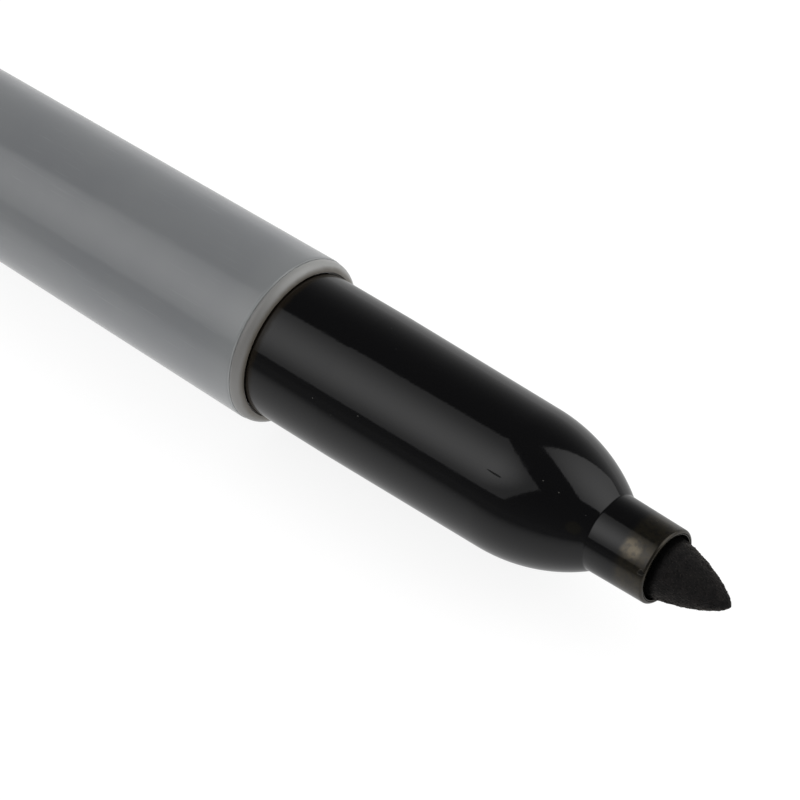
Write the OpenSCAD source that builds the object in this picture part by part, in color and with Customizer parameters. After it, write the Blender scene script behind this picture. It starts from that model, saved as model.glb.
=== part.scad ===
// Fine-point permanent marker lying on its side: a grey barrel, a black front section with a felt
// nib, a fibre reservoir inside, and the pull-off cap posted on the barrel's tail.
// The marker's axis is X, with the nib at +X. The origin is on that axis, in the barrel's mouth.

/* [Barrel] */
// Radius of the barrel where its lip starts to round over
barrel_r = 5.8; // [5.6:0.05:6.4]
// Radius of the barrel just ahead of the step that stops the posted cap
barrel_rear_r = 5.3; // [5.25:0.05:5.6]
// Length from the mouth back to that step
barrel_body_length = 66; // [55:1:80]
// Length of the tail that the cap is posted on
tail_length = 17; // [12:1:20]
// Wall of the barrel at its tail
tail_wall = 1; // [0.8:0.05:1.1]
// Rounding of the tail's end
tail_round = 0.4; // [0.2:0.05:0.5]
// Depth of the fine crease behind the lip
lip_crease = 0.06; // [0.02:0.01:0.15]
// Straight part of the lip between that crease and its rounding
lip_land = 0.08; // [0.04:0.01:0.3]
// Ledge that the section's tenon stops on
tenon_ledge = 0.25; // [0.15:0.05:0.4]
// Number of ribs that centre the reservoir
rib_count = 6; // [3:1:8]
// Thickness of a rib
rib_thickness = 0.7; // [0.5:0.1:1]

/* [Front section] */
// Radius of the land that the closed cap slides over
seat_r = 5.05; // [4.8:0.01:5.1]
// Length of that land
seat_length = 6; // [4:0.5:10]
// Length from the mouth to the start of the dome
section_length = 18.2; // [16:0.1:24]
// How much the radius falls from the land to the dome
section_draft = 0.16; // [0.05:0.01:0.3]
// Length of the dome
dome_length = 7; // [5:0.1:9]
// Length of the collar that holds the nib
collar_length = 4.35; // [3:0.05:6]
// How much the collar narrows to its front
collar_draft = 0.08; // [0.02:0.01:0.2]
// Wall of the collar at its front rim
collar_wall = 0.31; // [0.25:0.01:0.5]
// Rounding of the front rim
rim_round = 0.12; // [0.05:0.01:0.2]
// Length of the tenon inside the barrel
tenon_length = 12; // [8:0.5:16]
// Step from the land in to the tenon
tenon_step = 0.2; // [0.1:0.01:0.3]
// Lead-in at the end of the tenon
tenon_chamfer = 0.4; // [0.2:0.05:0.6]
// Radius of the snap bead round the tenon
bead_r = 0.3; // [0.2:0.05:0.4]
// Height of the bead above the tenon
bead_height = 0.14; // [0.08:0.01:0.2]
// Distance of the bead behind the mouth
bead_back = 5; // [3:0.5:7]
// Ledge that stops the reservoir
reservoir_ledge = 0.4; // [0.3:0.05:0.6]
// Length of the overflow chamber behind the dome
chamber_length = 6.2; // [4:0.1:8]
// Wall of the guide tube round the nib
guide_wall = 0.55; // [0.4:0.05:0.7]
// Distance from the reservoir to the guide tube
guide_gap = 1.5; // [1:0.1:2.5]
// Number of ribs that grip the nib
grip_count = 4; // [3:1:6]
// Thickness of a grip rib
grip_thickness = 0.6; // [0.4:0.1:0.8]
// Distance of the grip ribs behind the collar's rim
grip_back = 1; // [0.5:0.1:2]

/* [Nib] */
// Radius of the felt rod
nib_r = 2; // [1.5:0.01:2.3]
// Length of the bullet point ahead of the collar
point_length = 4.75; // [3.5:0.05:6.5]
// How late the bullet point starts to narrow
point_fullness = 1.3; // [1.2:0.05:2.2]
// How blunt the tip is
point_bluntness = 1.45; // [1.05:0.05:2]
// How far the nib goes into the reservoir
nib_pierce = 6; // [4:0.5:8]
// Length of the tapered tail of the nib
nib_tail_length = 3; // [2:0.5:3.5]
// Radius at the end of that tail
nib_tail_r = 0.8; // [0.5:0.1:1.2]

/* [Reservoir] */
// Radius of the fibre core
core_r = 3.6; // [3.2:0.05:3.75]
// Thickness of the film sleeve round it
sleeve_wall = 0.1; // [0.08:0.01:0.2]

/* [Tail plug] */
// Length of the plug inside the barrel
plug_length = 8; // [5:0.5:12]
// Wall of the plug's cup
plug_wall = 0.9; // [0.7:0.05:1.2]
// Width of the flange round the plug
flange_width = 0.4; // [0.3:0.05:0.5]
// Thickness of the flange
flange_thickness = 1; // [0.6:0.1:1.5]
// Radius of the shallow dish in the plug's end
dish_r = 2.4; // [1.5:0.1:3]
// Depth of that dish
dish_depth = 0.3; // [0.1:0.05:0.5]

/* [Cap] */
// Length of the cap
cap_length = 55; // [50:1:65]
// Wall of the cap at its mouth
cap_wall = 0.75; // [0.65:0.05:1]
// Outer radius of the cap at its closed end
cap_top_r = 5.35; // [5.25:0.05:5.7]
// Rounding of the closed end
cap_top_round = 0.9; // [0.4:0.1:1.2]
// Thickness of the closed end
cap_end_wall = 1.3; // [1:0.1:2]
// Rounding of the mouth
cap_mouth_round = 0.25; // [0.1:0.05:0.3]
// Ledge that the liner is pressed against
liner_ledge = 0.7; // [0.5:0.05:0.9]
// Number of ribs round the mouth, which give grip and stop the marker rolling
cap_rib_count = 12; // [8:2:24]
// Radius of a rib's round back
cap_rib_r = 0.45; // [0.35:0.05:0.6]
// How far a rib stands out at the mouth
cap_rib_height = 0.3; // [0.2:0.05:0.4]
// Length of a rib
cap_rib_length = 10; // [6:0.5:11]
// Distance of the ribs from the mouth
cap_rib_inset = 1.6; // [1:0.1:2]

/* [Clip] */
// Length of the clip
clip_length = 40; // [30:1:46]
// Width of the clip at its root
clip_root_width = 5; // [4:0.1:6]
// Width of the clip at its free end
clip_tip_width = 3.8; // [3:0.1:4.6]
// Thickness of the clip
clip_thickness = 1.3; // [1:0.1:1.8]
// Gap between the clip and the cap's widest part
clip_gap = 1.2; // [0.8:0.1:2]
// Length of the root that joins the clip to the cap
clip_root_length = 6; // [4:0.5:9]
// Distance of the root from the closed end
clip_inset = 1.3; // [1:0.1:3]
// Rounding of the clip's shoulder
clip_shoulder = 1.9; // [1:0.1:2.4]
// Radius of the clip's crowned outer face
clip_crown_r = 5; // [3.5:0.1:7]
// Radius of the ball under the free end
clip_ball_r = 1; // [0.7:0.1:1.3]
// How far the ball stands out of the clip's inner face
clip_ball_height = 0.7; // [0.3:0.1:0.75]

/* [Cap liner] */
// Thickness of the liner's flange
liner_flange = 1.2; // [0.8:0.1:2]
// Wall of the liner's cup
liner_wall = 0.75; // [0.5:0.05:1]
// Room for the nib beyond its tip
liner_room = 2; // [1:0.5:4]
// Lead-in at the liner's mouth
liner_chamfer = 0.4; // [0.2:0.05:0.5]

/* [Clearances] */
// Between pieces that are pressed together
press_gap = 0.02; // [0.01:0.005:0.03]
// Between the lip and the front section
mouth_gap = 0.1; // [0.05:0.01:0.15]
// Round the nib in the collar's mouth
vent_gap = 0.2; // [0.15:0.01:0.3]
// Between the sleeve and the section's rear bore
reservoir_gap = 0.1; // [0.05:0.01:0.15]
// Between the closed cap and the section's land
cap_gap = 0.12; // [0.08:0.01:0.15]
// Between the posted cap and the tail
post_gap = 0.04; // [0.02:0.005:0.06]
// Between the posted cap's mouth and the step
post_stop_gap = 0.05; // [0.03:0.01:0.1]
// Between the clip's edge and the surface that the marker lies on
clip_rest_gap = 0.1; // [0.05:0.05:0.5]
// Between the liner and the collar
seal_gap = 0.05; // [0.03:0.01:0.1]

/* [Hidden] */
$fn = 96;
POINT_STEPS = 28;
OVER = 1;

// Front section, with its dome tangent to the drafted body and ending on the collar
tenon_r = seat_r - tenon_step;
dome_start_r = seat_r - section_draft;
collar_bore_r = nib_r + vent_gap;
collar_front_r = collar_bore_r + collar_wall;
collar_root_r = collar_front_r + collar_draft;
dome_end = section_length + dome_length;
collar_front = dome_end + collar_length;
draft_angle = atan(section_draft / (section_length - seat_length));
dome_fall = dome_start_r - collar_root_r;
dome_r = (pow(dome_fall, 2) + pow(dome_length, 2))
    / (2 * (dome_fall * cos(draft_angle) - dome_length * sin(draft_angle)));
dome_center = [dome_start_r - dome_r * cos(draft_angle), section_length - dome_r * sin(draft_angle)];

// Reservoir and nib
sleeve_r = core_r + sleeve_wall;
reservoir_bore_r = sleeve_r + reservoir_gap;
chamber_r = reservoir_bore_r - reservoir_ledge;
chamber_wall = dome_start_r - chamber_r;
reservoir_front = section_length - chamber_length;
guide_r = collar_bore_r + guide_wall;
guide_start = reservoir_front + guide_gap;
nib_tip = collar_front + point_length;
nib_end = reservoir_front - nib_pierce;

// Cap and tail
cap_bore_r = seat_r + cap_gap;
cap_mouth_r = cap_bore_r + cap_wall;
cap_deep_r = cap_bore_r - liner_ledge;
cap_mouth_x = -barrel_body_length - post_stop_gap;
tail_r = cap_bore_r - post_gap;
tail_bore_r = tail_r - tail_wall;
tail_end = -barrel_body_length - tail_length;
plug_r = tail_bore_r - press_gap;
flange_r = plug_r + flange_width;
plug_face = tail_end + flange_thickness;
reservoir_rear = plug_face + plug_length;

// Barrel
lip_edge_r = seat_r + mouth_gap;
lip_round = barrel_r - lip_crease - lip_edge_r;
lip_length = lip_round + lip_land;
tenon_bore_r = tenon_r + press_gap;
rib_bore_r = tenon_bore_r - tenon_ledge;
rib_inner_r = sleeve_r + press_gap;

// Liner
seal_r = collar_root_r + seal_gap;
liner_cup_r = seal_r + liner_wall;
liner_mouth = dome_end + seal_gap;
liner_seat = liner_mouth + liner_flange;
liner_end = nib_tip + liner_room + liner_wall;

// Ribs round the cap's mouth. The marker lies on the two that straight down is midway between.
cap_rib_pitch = 360 / cap_rib_count;
cap_rib_center = cap_mouth_r + cap_rib_height - cap_rib_r;
rest_level = cap_rib_center * cos(cap_rib_pitch / 2) + cap_rib_r;

// Clip, turned about the axis until its edge is just above the surface that the ribs lie on
clip_inner_r = cap_mouth_r + clip_gap;
clip_outer_r = clip_inner_r + clip_thickness;
clip_top = cap_length - clip_inset;
clip_tip = clip_top - clip_length;
clip_half = clip_root_width / 2;
clip_edge = clip_outer_r - clip_crown_r + sqrt(pow(clip_crown_r, 2) - pow(clip_half, 2));
clip_turn = 180 - acos((rest_level - clip_rest_gap) / norm([clip_edge, clip_half]))
    - atan(clip_half / clip_edge);

// Lays a shape that was turned about Z along the marker's axis
module along_axis() {
    rotate([0, 90, 0]) rotate_extrude() children();
}

// A rectangle of an outline, from one radius to another and from one place on the axis to another
module band(inner_r, outer_r, from, to) {
    translate([inner_r, from]) square([outer_r - inner_r, to - from]);
}

// Flat ribs that stand on the axis like spokes
module spokes(count, thickness, reach, from, to) {
    rotate([0, 90, 0]) for (turn = [0 : count - 1])
        rotate(turn * 360 / count) translate([0, -thickness / 2, from])
            cube([reach, thickness, to - from]);
}

// Outline of the barrel's outside: rounded lip, crease, long taper, step, and tail
module barrel_outline() {
    polygon([[0, tail_end + tail_round], [tail_r, tail_end + tail_round],
        [tail_r, -barrel_body_length], [barrel_rear_r, -barrel_body_length],
        [barrel_r, -lip_length], [barrel_r - lip_crease, -lip_length],
        [barrel_r - lip_crease, -lip_round], [0, -lip_round]]);
    band(0, tail_r - tail_round, tail_end, tail_end + tail_round);
    translate([tail_r - tail_round, tail_end + tail_round]) circle(tail_round);
    band(0, lip_edge_r, -lip_round, 0);
    translate([lip_edge_r, -lip_round]) intersection() {
        circle(lip_round);
        square(2 * lip_round);
    }
}

// Outline of the space round the reservoir, which the ribs stand in. It runs on through the mouth.
module rib_space_outline() {
    polygon([[0, tail_end], [tail_bore_r, tail_end], [tail_bore_r, reservoir_rear],
        [rib_bore_r, -tenon_length], [rib_bore_r, 0], [0, 0]]);
}

// Outline of the front bore, with its flared mouth and the groove for the snap bead
module tenon_space_outline() {
    band(0, tenon_bore_r, -tenon_length, OVER);
    polygon([[0, -lip_round], [tenon_bore_r, -lip_round], [lip_edge_r, 0], [lip_edge_r, OVER],
        [0, OVER]]);
    translate([tenon_r + bead_height - bead_r, -bead_back]) circle(bead_r + press_gap);
}

module barrel() {
    color("#77797a") difference() {
        along_axis() barrel_outline();
        difference() {
            along_axis() rib_space_outline();
            spokes(rib_count, rib_thickness, rib_bore_r, reservoir_rear, -tenon_length);
        }
        along_axis() band(0, rib_inner_r, tail_end, OVER);
        along_axis() tenon_space_outline();
        along_axis() band(0, flange_r + press_gap, tail_end - OVER, plug_face);
    }
}

// Outline of the section's outside: tenon with snap bead, land, drafted body, dome and collar
module section_outline() {
    polygon([[0, -tenon_length], [tenon_r - tenon_chamfer, -tenon_length],
        [tenon_r, -tenon_length + tenon_chamfer], [tenon_r, 0], [seat_r, 0], [seat_r, seat_length],
        [dome_start_r, section_length], [0, section_length]]);
    translate([tenon_r + bead_height - bead_r, -bead_back]) circle(bead_r);
    intersection() {
        translate(dome_center) circle(dome_r);
        band(0, dome_start_r, section_length, dome_end);
    }
    polygon([[0, dome_end], [collar_root_r, dome_end], [collar_front_r, collar_front - rim_round],
        [collar_front_r - rim_round, collar_front], [0, collar_front]]);
}

// Outline of the chamber behind the dome, with the guide tube standing in it
module chamber_outline() {
    difference() {
        union() {
            band(0, chamber_r, 0, section_length);
            intersection() {
                translate(dome_center) circle(dome_r - chamber_wall);
                band(0, chamber_r, section_length, dome_end);
            }
        }
        band(0, guide_r, guide_start, dome_end);
    }
}

module front_section() {
    color("#141415") difference() {
        along_axis() section_outline();
        along_axis() band(0, reservoir_bore_r, -tenon_length - OVER, reservoir_front);
        along_axis() chamber_outline();
        difference() {
            along_axis() band(0, collar_bore_r, 0, collar_front + OVER);
            spokes(grip_count, grip_thickness, collar_bore_r, guide_start, collar_front - grip_back);
        }
        along_axis() band(0, nib_r + press_gap, 0, collar_front + OVER);
    }
}

// Radius of the bullet point at a share of its length
function point_r(share) = nib_r * pow(1 - pow(share, point_fullness), 1 / point_bluntness);

// Outline of the nib's tapered tail and rod, made larger by a gap
module rod_outline(gap) {
    polygon([[0, nib_end - gap], [nib_tail_r + gap, nib_end - gap],
        [nib_r + gap, nib_end + nib_tail_length], [nib_r + gap, collar_front], [0, collar_front]]);
}

module nib() {
    color("#1b1919") along_axis() {
        rod_outline(0);
        polygon(concat([[0, collar_front]], [for (step = [0 : POINT_STEPS])
            let (share = sin(90 * step / POINT_STEPS))
            [point_r(share), collar_front + point_length * share]]));
    }
}

module ink_reservoir() {
    color("#2a2a30") along_axis() difference() {
        band(0, core_r, reservoir_rear, reservoir_front);
        rod_outline(press_gap);
    }
}

module reservoir_sleeve() {
    color("#d8d8d2") along_axis() band(core_r + press_gap, sleeve_r, reservoir_rear, reservoir_front);
}

module tail_plug() {
    color("#141415") along_axis() difference() {
        union() {
            band(0, flange_r, tail_end, plug_face);
            band(0, plug_r, plug_face, reservoir_rear);
        }
        band(0, plug_r - plug_wall, plug_face, reservoir_rear + OVER);
        band(0, dish_r, tail_end - OVER, tail_end + dish_depth);
    }
}

// Puts a shape that was made mouth down on Z into the posted cap's place, with its clip turned
module posted() {
    translate([cap_mouth_x, 0, 0]) rotate([0, -90, 0]) rotate(-clip_turn) children();
}

// Outline of the cap's outside, from its rounded mouth to its rounded closed end
module cap_outline() {
    polygon([[0, cap_mouth_round], [cap_mouth_r, cap_mouth_round],
        [cap_top_r, cap_length - cap_top_round], [0, cap_length - cap_top_round]]);
    band(0, cap_mouth_r - cap_mouth_round, 0, cap_mouth_round);
    translate([cap_mouth_r - cap_mouth_round, cap_mouth_round]) circle(cap_mouth_round);
    band(0, cap_top_r - cap_top_round, cap_length - cap_top_round, cap_length);
    translate([cap_top_r - cap_top_round, cap_length - cap_top_round]) circle(cap_top_round);
}

// Outline of the clip from the side: root, rounded shoulder, arm, and the ball under its free end
module clip_side_outline() {
    band(cap_deep_r, clip_outer_r, clip_top - clip_root_length, clip_top - clip_shoulder);
    band(cap_deep_r, clip_outer_r - clip_shoulder, clip_top - clip_shoulder, clip_top);
    translate([clip_outer_r - clip_shoulder, clip_top - clip_shoulder]) circle(clip_shoulder);
    band(clip_inner_r, clip_outer_r, clip_tip + clip_thickness / 2, clip_top - clip_root_length);
    translate([clip_inner_r + clip_thickness / 2, clip_tip + clip_thickness / 2])
        circle(clip_thickness / 2);
    translate([clip_inner_r + clip_ball_r - clip_ball_height, clip_tip + 2 * clip_ball_r])
        intersection() {
            circle(clip_ball_r);
            translate([-clip_ball_r, -clip_ball_r]) square([clip_ball_r, 2 * clip_ball_r]);
        }
}

// Outline of the clip from above: it narrows to a round free end
module clip_plan_outline() {
    tip_half = clip_tip_width / 2;
    polygon([[clip_tip + tip_half, -tip_half], [clip_top, -clip_half], [clip_top, clip_half],
        [clip_tip + tip_half, tip_half]]);
    translate([clip_tip + tip_half, 0]) circle(tip_half);
}

module clip() {
    intersection() {
        rotate_extrude() clip_side_outline();
        rotate([0, -90, 0]) mirror([0, 0, 1]) linear_extrude(clip_outer_r + OVER) clip_plan_outline();
        translate([clip_outer_r - clip_crown_r, 0, 0]) cylinder(h = cap_length, r = clip_crown_r);
    }
}

// Grip ribs with round ends, standing round the cap's mouth
module cap_ribs() {
    for (turn = [0 : cap_rib_count - 1])
        rotate(clip_turn + (turn + 0.5) * cap_rib_pitch)
            translate([cap_rib_center, 0, cap_rib_inset + cap_rib_r]) {
                sphere(cap_rib_r);
                cylinder(h = cap_rib_length - 2 * cap_rib_r, r = cap_rib_r);
                translate([0, 0, cap_rib_length - 2 * cap_rib_r]) sphere(cap_rib_r);
            }
}

module cap_shell() {
    color("#141415") posted() difference() {
        union() {
            rotate_extrude() cap_outline();
            cap_ribs();
            clip();
        }
        rotate_extrude() {
            band(0, cap_bore_r, -OVER, liner_seat);
            band(0, cap_deep_r, 0, cap_length - cap_end_wall);
        }
    }
}

module cap_liner() {
    color("#d8d8d2") posted() rotate_extrude() difference() {
        union() {
            band(0, cap_bore_r - press_gap, liner_mouth, liner_seat);
            band(0, liner_cup_r, liner_seat, liner_end);
        }
        band(0, seal_r, liner_mouth - OVER, liner_end - liner_wall);
        polygon([[0, liner_mouth], [seal_r + liner_chamfer, liner_mouth],
            [seal_r, liner_mouth + liner_chamfer], [0, liner_mouth + liner_chamfer]]);
    }
}

barrel();
front_section();
nib();
ink_reservoir();
reservoir_sleeve();
tail_plug();
cap_shell();
cap_liner();
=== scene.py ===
"""Looks of a fine-point permanent marker that lies on a white table with its cap posted on the tail.

Everything is in the frame of the solids: X is the marker's axis with the nib at +X, Z is up.
Sizes are written in millimetres and become metres when a mesh, lamp or pattern is made.
"""

import math

import bmesh
import bpy
import numpy as np
from mathutils import Matrix, Vector


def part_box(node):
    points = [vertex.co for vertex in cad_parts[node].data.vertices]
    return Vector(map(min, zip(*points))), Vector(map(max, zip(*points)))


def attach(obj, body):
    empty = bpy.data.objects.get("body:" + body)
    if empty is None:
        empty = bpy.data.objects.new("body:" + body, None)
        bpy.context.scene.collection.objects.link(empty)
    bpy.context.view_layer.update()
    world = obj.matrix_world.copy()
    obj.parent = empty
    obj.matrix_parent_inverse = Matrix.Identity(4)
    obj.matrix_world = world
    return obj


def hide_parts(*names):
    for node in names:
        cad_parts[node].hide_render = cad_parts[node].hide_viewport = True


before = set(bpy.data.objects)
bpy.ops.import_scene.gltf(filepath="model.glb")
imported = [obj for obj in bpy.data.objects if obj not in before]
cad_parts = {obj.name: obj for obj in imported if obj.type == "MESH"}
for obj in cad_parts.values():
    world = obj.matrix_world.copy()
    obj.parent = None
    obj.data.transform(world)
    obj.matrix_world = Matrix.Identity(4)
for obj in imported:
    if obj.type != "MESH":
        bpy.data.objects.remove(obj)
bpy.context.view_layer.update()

MM = 0.001

# Places along the axis and the height of the axis over the table, from the solids
TAIL_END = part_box("barrel")[0].x / MM
TENON_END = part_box("front_section")[0].x / MM
COLLAR_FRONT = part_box("front_section")[1].x / MM
NIB_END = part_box("nib")[0].x / MM
NIB_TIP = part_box("nib")[1].x / MM
PLUG_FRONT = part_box("tail_plug")[1].x / MM
CAP_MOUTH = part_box("cap_shell")[1].x / MM
CAP_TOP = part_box("cap_shell")[0].x / MM
LINER_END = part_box("cap_liner")[0].x / MM
REST_LEVEL = -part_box("cap_shell")[0].z / MM

# Barrel
BARREL_R = 5.8
BARREL_REAR_R = 5.3
BARREL_STEP = -66.0
TAIL_R = 5.13
TAIL_BORE_R = 4.13
TAIL_ROUND = 0.4
STEP_ROOT_ROUND = 0.1
STEP_EDGE_ROUND = 0.05
LIP_EDGE_R = 5.15
LIP_CREASE = 0.06
LIP_ROUND = 0.59
LIP_LENGTH = 0.67
LIP_BEVEL = 0.16
LIP_BEVEL_ROUND = 0.5
LIP_GROOVE = 0.08
LIP_GROOVE_ROUND = 0.02
MOUTH_R = 5.06
TENON_BORE_R = 4.87
RIB_BORE_R = 4.62

# Front section
SEAT_R = 5.05
SEAT_LENGTH = 6.0
SEAT_BLEND = 2.0
TENON_R = 4.85
TENON_CHAMFER = 0.4
DOME_START = 18.2
DOME_END = 25.2
DOME_START_R = 4.89
COLLAR_ROOT_R = 2.59
COLLAR_FRONT_R = 2.51
COLLAR_BORE_R = 2.2
COLLAR_FILLET = 0.2
RIM_ROUND = 0.19
RIM_INNER_ROUND = 0.05
SHOULDER_ROUND = 0.12
GUIDE_R = 2.75
GUIDE_START = 13.5
RESERVOIR_FRONT = 12.0
RESERVOIR_BORE_R = 3.8
CHAMBER_R = 3.4
CHAMBER_FRONT = 20.0

# Nib
NIB_R = 2.0
NIB_TAIL_R = 0.8
NIB_TAIL_LENGTH = 3.0
POINT_FULLNESS = 1.3
POINT_BLUNTNESS = 1.45
NIB_LEAN = 0.05
TUFT_SIZE = (0.13, 0.09, 0.09)
TUFT_DEPTH = 0.011
LUMP_SIZE = (0.55, 0.4, 0.4)
LUMP_DEPTH = 0.007
FELT_SWELL = 0.004
ROUGH_RUN = 1.0
CALM_R = 0.4
TIP_INSET = 0.005
FIBRE_COUNT = 520
FIBRE_R = 0.014
FIBRE_LENGTH = 0.14
FIBRE_LENGTH_SPREAD = 0.2
FIBRE_BEND = 0.9
FIBRE_ROOT = 0.05
FIBRE_LIFT = 0.02
FIBRE_LIFT_SPREAD = 0.035
FIBRE_SET_BACK = 0.03

# Where loose fibres start and may end, in shares of the nib's point
FIBRE_START = 0.02
FIBRE_START_SPREAD = 0.93
FIBRE_LAST = 0.985

# Tail plug
FLANGE_R = 4.51
FLANGE_THICKNESS = 1.0
FLANGE_GAP = 0.02
FLANGE_ROUND = 0.12
PLUG_R = 4.11
PLUG_BORE_R = 3.21
DISH_R = 2.4
DISH_DEPTH = 0.3
PLUG_ROUND = 0.1
PLUG_CUP_ROUND = 0.2

# Cap, measured in depth from its mouth
CAP_LENGTH = CAP_MOUTH - CAP_TOP
CAP_BORE_R = 5.17
CAP_MOUTH_R = 5.92
CAP_TOP_R = 5.35
CAP_DEEP_R = 4.47
CAP_MOUTH_ROUND = 0.25
CAP_TOP_ROUND = 0.9
CAP_END_WALL = 1.3
CAP_END_ROUND = 0.4
CAP_BORE_ROUND = 0.1
LINER_SEAT = 26.45
LINER_SEAT_ROUND = 0.05
CAP_RIB_COUNT = 12
CAP_RIB_R = 0.45
CAP_RIB_HEIGHT = 0.3
CAP_RIB_LENGTH = 10.0
CAP_RIB_INSET = 1.6

# Clip, in depth from the cap's mouth and distance from the axis
CLIP_INNER_R = 7.12
CLIP_OUTER_R = 8.42
CLIP_TOP = 53.7
CLIP_TIP = 13.7
CLIP_ROOT_LENGTH = 6.0
CLIP_ROOT_WIDTH = 5.0
CLIP_TIP_WIDTH = 3.8
CLIP_SHOULDER = 1.9
CLIP_CROWN_R = 5.0
CLIP_BALL_R = 1.0
CLIP_BALL_HEIGHT = 0.7
CLIP_ROOT_FILLET = 0.8
CLIP_ROOT_SINK = 0.4
CLIP_FINE_RUN = 4.0
CLIP_REST_GAP = 0.1

# Marks on the front section: place along the axis, and turn in degrees from the top towards the viewer
SPECKS = ((5.4, 66.2), (8.9, 60.0), (21.7, 30.1), (22.8, 31.0), (28.1, -15.3))
SCRATCH = (19.05, 44.5)
INK_SMEAR = (24.4, 54.0)
INK_BLOT = (28.05, 41.0)
INK_CRUMB = (29.25, 61.7)

# Half sizes of those marks
SPECK_SIZE = (0.06, 0.05, 0.05)
SCRATCH_SIZE = (1.1, 0.055, 0.055)
INK_SMEAR_SIZE = (0.7, 0.5, 0.5)
INK_BLOT_SIZE = (0.8, 0.85, 0.85)
INK_CRUMB_SIZE = (0.28, 0.22, 0.22)

# Where along the axis the paler grey, the painted lip highlight, stains, ink and painted shade start and are
# full
BARREL_PALER = (-4.0, -0.9)
LIP_PALE = (-LIP_LENGTH - 0.07, -LIP_LENGTH + 0.05)
MOUTH_STAIN = (-0.16, 0.02)
MOUTH_SHADE = (0.65, 0.25)
INK_FILM = (27.2, 27.8)
INK_RIM = (COLLAR_FRONT - 0.6, COLLAR_FRONT - 0.2)
FELT_WET_SHADE = (COLLAR_FRONT + 0.65, COLLAR_FRONT + 0.15)
LINER_STAIN = (LINER_END + 5.0, LINER_END + 1.0)

# Half the width of the painted highlight along the crease behind the lip
CREASE_HIGHLIGHT_HALF_WIDTH = 0.06

# Where across the axis the lip's darker side towards the viewer and the table's glow start and are full
LIP_VIEWER_SIDE = (1.0, -4.0)
TABLE_GLOW = (-45.0, -6.0)

# Camera of the photograph, fitted to the marker's outline
VIEW_AZIMUTH = 41.252
VIEW_ELEVATION = 43.585
CAMERA_PLACE = (103.653, -108.471, 137.839)
CAMERA_LENS = 144.0
CAMERA_SENSOR = 36.0


# Outlines and surfaces

def arc(center, radius, start, end, steps):
    """Points at even angles on a circle about a center, from a start to an end angle in degrees."""
    angle = np.radians(np.linspace(start, end, steps))
    return np.stack([center[0] + radius * np.cos(angle), center[1] + radius * np.sin(angle)], axis=1)


def rounded(corners, step=6.0, support=0.06):
    """An outline through corners (x, r, rounding), each cut by the circle that touches both its sides.

    A point is also set a little way along each side from the circle, to keep the flats flat in shading."""
    place = np.array([c[:2] for c in corners], float)
    parts = [place[:1]]
    for before, here, after, corner in zip(place[:-2], place[1:-1], place[2:], corners[1:-1]):
        back, ahead = before - here, after - here
        back_length, ahead_length = np.linalg.norm(back), np.linalg.norm(ahead)
        back, ahead = back / back_length, ahead / ahead_length
        half = math.acos(np.clip(back @ ahead, -1, 1)) / 2
        radius = corner[2]
        if radius == 0:
            parts.append(here[None])
            continue
        reach = radius / math.tan(half)
        center = here + (back + ahead) / np.linalg.norm(back + ahead) * radius / math.sin(half)
        first, last = here + back * reach - center, here + ahead * reach - center
        turn = math.pi - 2 * half
        count = max(3, int(math.degrees(turn) / step) + 2)
        share = np.linspace(0, 1, count)[:, None]
        swept = (np.sin((1 - share) * turn) * first + np.sin(share * turn) * last) / math.sin(turn)
        lead_in = here + back * min(reach + support, back_length * 0.9)
        lead_out = here + ahead * min(reach + support, ahead_length * 0.9)
        parts.append(np.concatenate([lead_in[None], center + swept, lead_out[None]]))
    parts.append(place[-1:])
    return np.concatenate(parts)


def mesh_of(name, grid, loop_rows, material, sharp=35.0):
    """A mesh from a grid of points in mm, or from several: rows run along the piece, columns close round it.

    Rows that have shrunk to one point become a single pole, and loop_rows joins the last row to the first."""
    rows, columns = grid.shape[-3:-1]
    index = np.arange(grid.size // 3).reshape(-1, rows, columns)
    here = index if loop_rows else index[:, :-1]
    below = np.roll(index, -1, axis=1)[:, :here.shape[1]]
    quads = np.stack([here, np.roll(here, -1, axis=2), np.roll(below, -1, axis=2), below], axis=-1)
    mesh = bpy.data.meshes.new(name)
    mesh.from_pydata((grid.reshape(-1, 3) * MM).tolist(), [], quads.reshape(-1, 4).tolist())
    close_and_turn_out(mesh)
    mesh.shade_smooth()
    mesh.set_sharp_from_angle(angle=math.radians(sharp))
    mesh.materials.append(material)
    piece = bpy.data.objects.new(name, mesh)
    bpy.context.scene.collection.objects.link(piece)
    return piece


def close_and_turn_out(mesh):
    """Joins points that lie on each other, which closes the poles, and turns all faces outwards."""
    shape = bmesh.new()
    shape.from_mesh(mesh)
    bmesh.ops.remove_doubles(shape, verts=shape.verts, dist=1e-7)
    bmesh.ops.recalc_face_normals(shape, faces=shape.faces)
    shape.to_mesh(mesh)
    shape.free()


def turned(outline, columns=320):
    """A surface of revolution: outline point (x, r) at angle t goes to (x, r sin t, r cos t)."""
    angle = np.linspace(0, 2 * np.pi, columns, endpoint=False)
    x, r = outline[:, :1], outline[:, 1:]
    return np.stack([x + 0 * angle, r * np.sin(angle), r * np.cos(angle)], axis=-1)


def ripple(points, size, count, seed):
    """Smooth noise of about unit height: a sum of sine waves in random directions.

    size is the grain along X, Y and Z in mm."""
    rng = np.random.default_rng(seed)
    waves = rng.normal(size=(3, count))
    waves *= (2 + rng.random(count)) * 1.6 / np.linalg.norm(waves, axis=0)
    phase = rng.random(count) * 2 * np.pi
    return np.sin(points / np.array(size) @ waves + phase).sum(axis=-1) * math.sqrt(2 / count)


# What the materials share

SMOOTH = {"interpolation_type": "SMOOTHSTEP"}


def linear(hex_colour):
    """The linear colour of an sRGB hex value."""
    value = np.array([int(hex_colour[i:i + 2], 16) for i in (1, 3, 5)]) / 255
    value = np.where(value <= 0.04045, value / 12.92, ((value + 0.055) / 1.055) ** 2.4)
    return (*value.tolist(), 1.0)


def per_metre(size):
    """The scale at which a noise has features of about a size in mm."""
    return 1 / (size * MM)


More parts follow.
